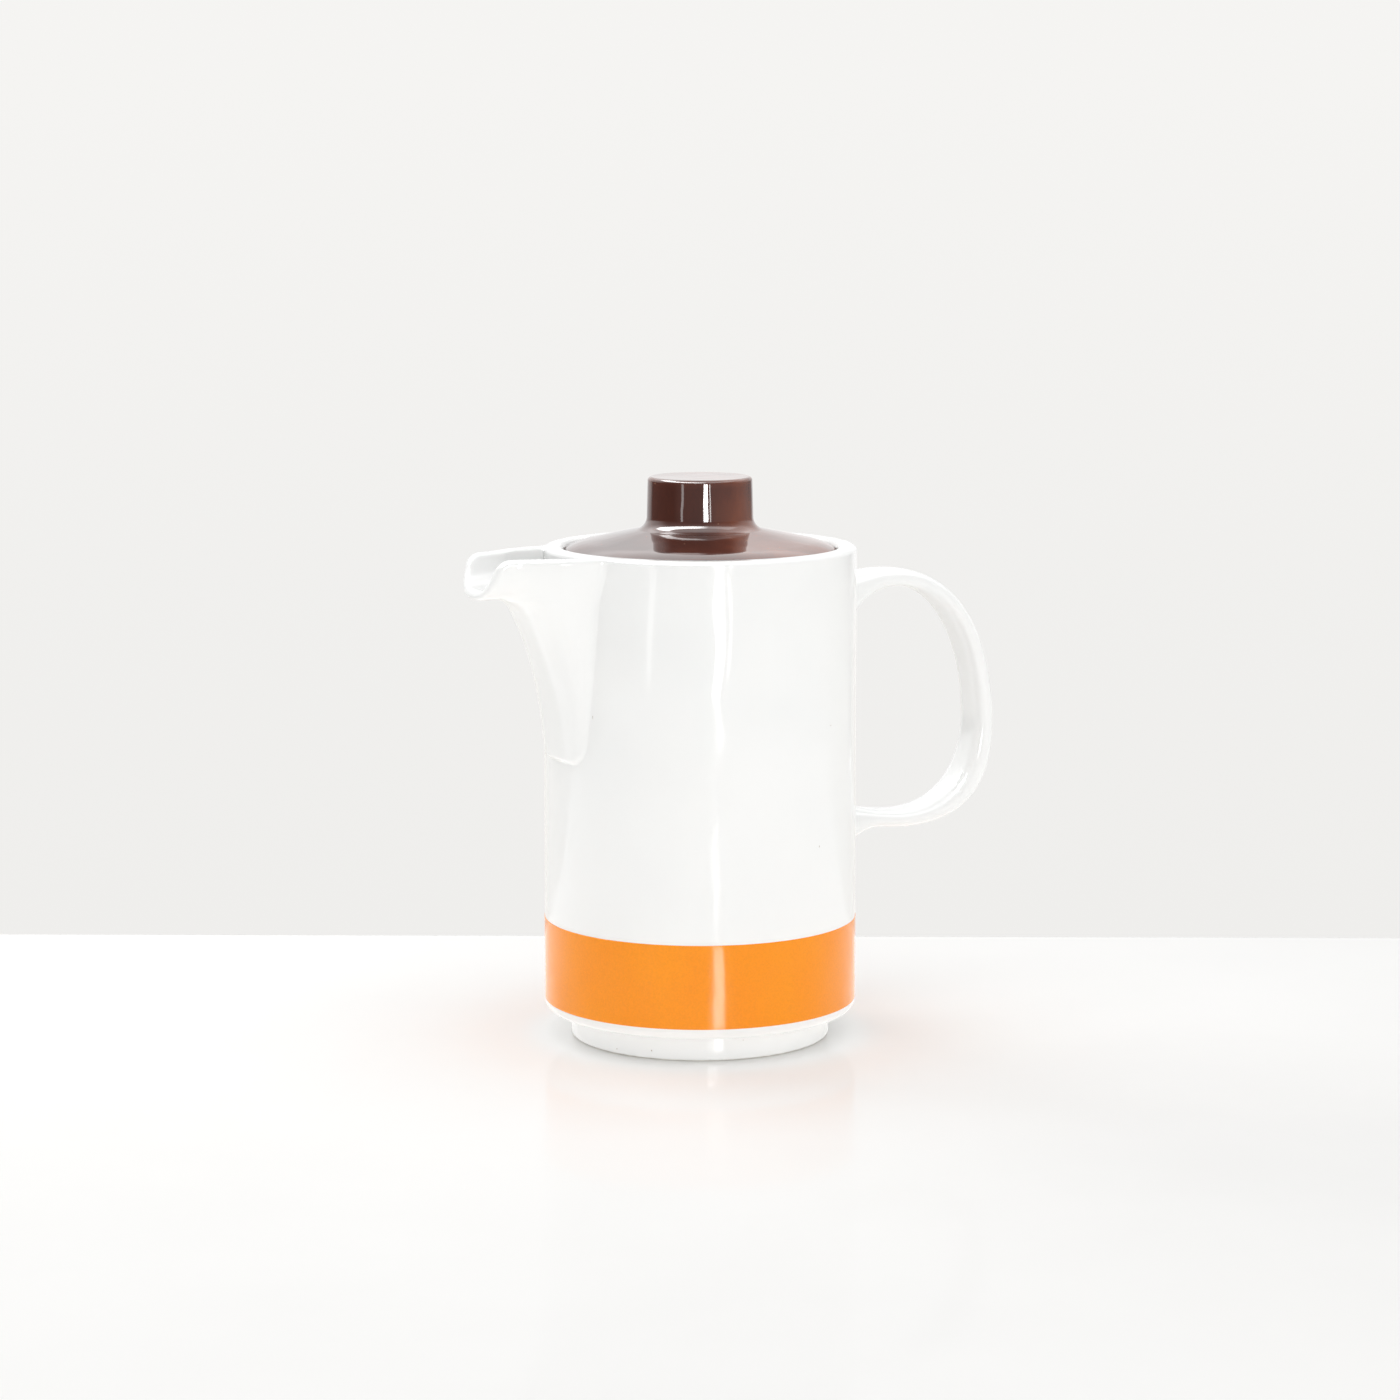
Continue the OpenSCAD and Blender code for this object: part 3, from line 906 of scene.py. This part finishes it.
def table_top():
    """A white satin table: nearly matt from above, glossier the flatter one looks along it.

    It glows a little for every ray but the camera's, and most for those that the gloss mirrors.
    """
    n = Finish("table_top")
    n.set("Base Color", n.ramp(n.noise(14, 4), [(0.3, (0.935, 0.93, 0.918)), (0.7, (0.95, 0.945, 0.933))]))
    n.set("Specular IOR Level", 0.0)
    n.set("Roughness", 0.6)
    n.set("Emission Color", (1, 0.99, 0.97))
    paths = n.add("ShaderNodeLightPath").outputs
    glow_in_gloss = n.math("MULTIPLY", n.mirrored(paths), 0.3)
    glow_on_pot = n.math("MULTIPLY", n.math("SUBTRACT", 1.0, paths["Is Camera Ray"]), 0.15)
    n.set("Emission Strength", n.math("ADD", glow_in_gloss, glow_on_pot))
    gloss = n.add("ShaderNodeBsdfGlossy")
    n.link(n.ramp(n.noise(200, 3), [(0.3, 0.06), (0.7, 0.09)]), gloss.inputs["Roughness"])
    facing = n.add("ShaderNodeLayerWeight", Blend=0.5).outputs["Facing"]
    share = n.ramp(facing, [(0.3, 0.02), (0.7, 0.03), (0.745, 0.045), (0.765, 0.1), (0.78, 0.15),
                            (0.85, 0.24), (0.9, 0.38), (1.0, 0.9)])
    both = n.add("ShaderNodeMixShader")
    n.feed(both.inputs, (share, n.shader.outputs[0], gloss.outputs[0]))
    n.link(both.outputs[0], n.tree.nodes["Material Output"].inputs["Surface"])
    return n.material


# ---- The pieces, each on its body and in place of its node, with its slot listed ----

white = white_glaze("white_glaze", 0.905)
# a lighter copy of the white glaze: painted light that lifts the shade on the foot and inside the lip
bright = white_glaze("shade_lifted_white_glaze", 0.975)     # on the foot and inside the lip
bare = bare_porcelain()
brown = brown_glaze()
orange = orange_enamel()

PIECES = [
    (make_wall(white), "pot", "white_glaze", "pot_body"),
    (make_rim(white), "pot", "white_glaze", "rim_ring"),
    # the foot's glaze is the lighter white, painted light on its shaded ring
    (make_foot(bright, bare), "pot", "white_glaze", "foot_ring"),
    (make_spout(white, bright), "pot", "white_glaze", "spout"),
    (make_handle(white), "pot", "white_glaze", "handle"),
    (make_band(orange), "pot", "orange_enamel", "colour_band"),
    (make_lid_cap(brown), "lid", "brown_glaze", "lid_cap"),
    (make_knob(brown), "lid", "brown_glaze", "lid_knob"),
    (make_collar(white), "lid", "white_glaze", "lid_collar"),
    (make_lug(white), "lid", "white_glaze", "lid_lug"),
]
for piece, body, slot, node in PIECES:
    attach(piece, body)
    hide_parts(node)


# ---- Camera: the photograph's long lens, a little above the pot ----

AZIMUTH = math.radians(28.13)
PITCH = math.radians(5.86)
FRAME_PX = 1400
FOCAL_PX = 3674
SENSOR_MM = 36
CAMERA_AWAY = 1225
CAMERA_HEIGHT = 296
forward = Vector((math.sin(AZIMUTH), math.cos(AZIMUTH), 0))
right = Vector((math.cos(AZIMUTH), -math.sin(AZIMUTH), 0))
up = Vector((0, 0, 1))


def in_view(across, along, height):
    """A place from millimetres to the camera's right, away from it and up, the pot's axis at 0, 0."""
    return (right * across + forward * along + up * height) * MM


camera_data = bpy.data.cameras.new("camera")
camera_data.lens = FOCAL_PX / FRAME_PX * SENSOR_MM
camera_data.shift_y = -0.12
camera_data.clip_start = 0.02
camera_data.clip_end = 50
camera = bpy.data.objects.new("camera", camera_data)
camera.location = in_view(0, -CAMERA_AWAY, CAMERA_HEIGHT)
aim = forward * math.cos(PITCH) - up * math.sin(PITCH)
camera.rotation_euler = aim.to_track_quat("-Z", "Y").to_euler()
bpy.context.scene.collection.objects.link(camera)
bpy.context.scene.camera = camera


# ---- Table: its far edge crosses the photograph behind the pot ----

def make_table():
    """A slab with eased edges; skew turns its far edge a little, as in the photograph."""
    back, front, side, thick, ease, skew = 155.0, -525.0, 700.0, 30.0, 4.0, 0.012
    turn = [k * math.pi / 14 for k in range(8)]
    outline = [(back - ease + ease * math.sin(a), -ease + ease * math.cos(a)) for a in turn]
    outline += [(back - ease + ease * math.cos(a), -thick + ease - ease * math.sin(a)) for a in turn]
    outline += [(front + ease - ease * math.sin(a), -thick + ease - ease * math.cos(a)) for a in turn]
    outline += [(front + ease - ease * math.cos(a), -ease + ease * math.sin(a)) for a in turn]
    obj = prism("table", outline, -side, side, table_top(),
                lambda a, b, c: tuple(in_view(c, a - c * skew, b) / MM))
    obj.data.set_sharp_from_angle(angle=math.radians(30))


make_table()


# ---- Light ----

def area_light(name, place, towards, size, radiance):
    """A rectangular lamp that the camera doesn't see; radiance is its surface's brightness, 1 = white."""
    data = bpy.data.lights.new(name, "AREA")
    data.shape = "RECTANGLE"
    data.size, data.size_y = size[0] * MM, size[1] * MM
    data.energy = radiance * math.pi * data.size * data.size_y
    lamp = bpy.data.objects.new(name, data)
    lamp.location = place
    lamp.rotation_euler = (towards - Vector(place)).to_track_quat("-Z", "Y").to_euler()
    lamp.visible_camera = False
    bpy.context.scene.collection.objects.link(lamp)
    return lamp


def strip_lamp(name, azimuth, width, low, high, radiance, reach=680, only=None):
    """An upright strip of window that only the gloss sees, and only on one piece if that is named.

    It stands azimuth degrees to the right of the camera as seen from the pot, is width degrees wide,
    goes from low to high and is reach away from the pot's axis, in millimetres.
    """
    angle = math.radians(azimuth)
    place = in_view(reach * math.sin(angle), -reach * math.cos(angle), (low + high) / 2)
    size = (2 * reach * math.tan(math.radians(width / 2)), high - low)
    lamp = area_light(name, place, Vector((0, 0, place.z)), size, radiance)
    lamp.visible_diffuse = False
    if only:
        lit = bpy.data.collections.new(name)
        lit.objects.link(bpy.data.objects[only])
        lamp.light_linking.receiver_collection = lit


pot_middle = Vector((0, 0, 0.09))
softbox = area_light("softbox_behind", in_view(-850, 700, 650), pot_middle, (900, 600), 2.6)
softbox.visible_glossy = False
strip_lamp("window", 12.5, 5, 25, 84, 44)
strip_lamp("window_upper", 12.5, 9, 108, 180, 34)
strip_lamp("window_edge", 19.9, 1.6, 30, 84, 5)
strip_lamp("window_edge_upper", 22, 2, 108, 180, 12)
strip_lamp("window_left", -34.5, 4, 45, 97, 1.8)
strip_lamp("window_left_upper", -38, 5, 108, 180, 3.5)
strip_lamp("window_on_band", 10.2, 4.8, 3, 31, 11, reach=92, only="enamel_band")
strip_lamp("window_on_foot", 10.2, 5, 0.5, 6, 4, reach=56, only="foot")


class Room(Graph):
    """The world: soft for scattered light, detailed for the gloss, and the pale wall for the camera."""

    def __init__(self):
        world = bpy.data.worlds.new("room")
        bpy.context.scene.world = world
        world.use_nodes = True
        super().__init__(world.node_tree)
        self.tree.nodes.clear()
        self.place = self.add("ShaderNodeTexCoord").outputs["Generated"]
        self.height = self.along(up)
        paths = self.add("ShaderNodeLightPath").outputs
        colour = self.mix(self.mirrored(paths), self.soft_light(), self.seen_in_gloss())
        colour = self.mix(paths["Is Camera Ray"], colour, self.wall())
        shade = self.add("ShaderNodeBackground")
        self.link(colour, shade.inputs["Color"])
        self.link(shade.outputs[0], self.add("ShaderNodeOutputWorld").inputs["Surface"])

    def wall(self):
        """The backdrop, a little darker towards the table."""
        return self.wide_ramp(self.height, [(-0.25, (0.86, 0.852, 0.835)), (-0.12, (0.875, 0.868, 0.852)),
                                            (0.02, (0.913, 0.905, 0.888)), (0.3, (0.93, 0.925, 0.915))])

    def soft_light(self):
        """Soft light, most from the front right and from straight above."""
        front = self.along(right * 0.5 - forward * 0.85)
        around = self.wide_ramp(front, [(-1, 0.5), (0, 0.79), (0.6, 1.11), (1, 1.35)], top=1.4)
        layers = self.wide_ramp(self.height, [(-0.3, 0.9), (-0.1, 1.0), (0.35, 1.0), (0.5, 0.38),
                                              (0.75, 0.38), (0.85, 2.0), (1, 2.2)], top=2.4)
        return self.times(around, layers)

    def seen_in_gloss(self):
        """The dim room in front, the pale wall behind the pot, a bright skylight and the floor."""
        toward, aside = self.along(forward), self.along(right)
        away = self.math("MULTIPLY", toward, -1.0)
        half_turns = self.math("DIVIDE", self.math("ARCTAN2", aside, away), math.pi)
        degrees = [(-180, 1.1), (-135, 0.9), (-126, 0.16), (-60, 0.13), (-40, 0.35), (0, 0.42), (20, 0.55),
                   (125, 0.55), (134, 0.4), (147, 0.4), (156, 1.1), (180, 1.1)]
        room = self.wide_ramp(half_turns, [(angle / 180, grey) for angle, grey in degrees])
        behind = self.wide_ramp(self.height, [(-0.05, 0.9), (0.06, 1.15), (0.16, 1.2), (0.34, 1.3),
                                              (0.45, 1.7), (0.55, 2.5), (0.87, 2.5), (1, 1.5)], top=3.0)
        behind = self.times(behind, self.wide_ramp(aside, [(-0.5, 1.25), (0, 1.05), (0.4, 0.95)], top=1.25))
        above = self.wide_ramp(self.height, [(0.1, 0.3), (0.5, 0.7), (0.7, 1.5), (1, 3.0)], top=3.0)
        high = self.mix(self.span(toward, -0.3, 0.3, "SMOOTHSTEP"), above, behind)
        gloss = self.mix(self.span(self.height, -0.02, 0.1, "SMOOTHSTEP"), room, high)
        sky_round = self.wide_ramp(half_turns, [(-0.75, 0), (-0.65, 1), (-0.05, 1), (0.12, 0.12),
                                                (0.5, 0.12), (0.6, 0)])
        sky_up = self.wide_ramp(self.height, [(0.6, 0), (0.65, 1), (0.82, 1), (0.87, 0)])
        skylight, floor = (24, 24, 24), (0.95, 0.93, 0.89)
        gloss = self.mix(self.math("MULTIPLY", sky_round, sky_up), gloss, skylight)
        return self.mix(self.span(self.height, -0.09, -0.15, "SMOOTHSTEP"), gloss, floor)

    def along(self, axis):
        """How far the direction points along an axis, from -1 to 1."""
        node = self.add("ShaderNodeVectorMath", operation="DOT_PRODUCT")
        self.link(self.place, node.inputs[0])
        node.inputs[1].default_value = axis.normalized()
        return node.outputs["Value"]

    def times(self, a, b):
        node = self.add("ShaderNodeVectorMath", operation="MULTIPLY")
        self.feed(node.inputs, (a, b))
        return node.outputs[0]

    def wide_ramp(self, value, stops, top=1.0):
        """Colours or greys along a value from -1 to 1; brightness up to top."""
        stops = [((at + 1) / 2, tuple(c / top for c in as_colour(colour))) for at, colour in stops]
        colour = self.ramp(self.span(value, -1.0, 1.0), stops)
        if top == 1.0:
            return colour
        scale = self.add("ShaderNodeVectorMath", operation="SCALE")
        scale.inputs["Scale"].default_value = top
        self.link(colour, scale.inputs[0])
        return scale.outputs[0]


Room()

bpy.context.scene.view_settings.view_transform = "Standard"
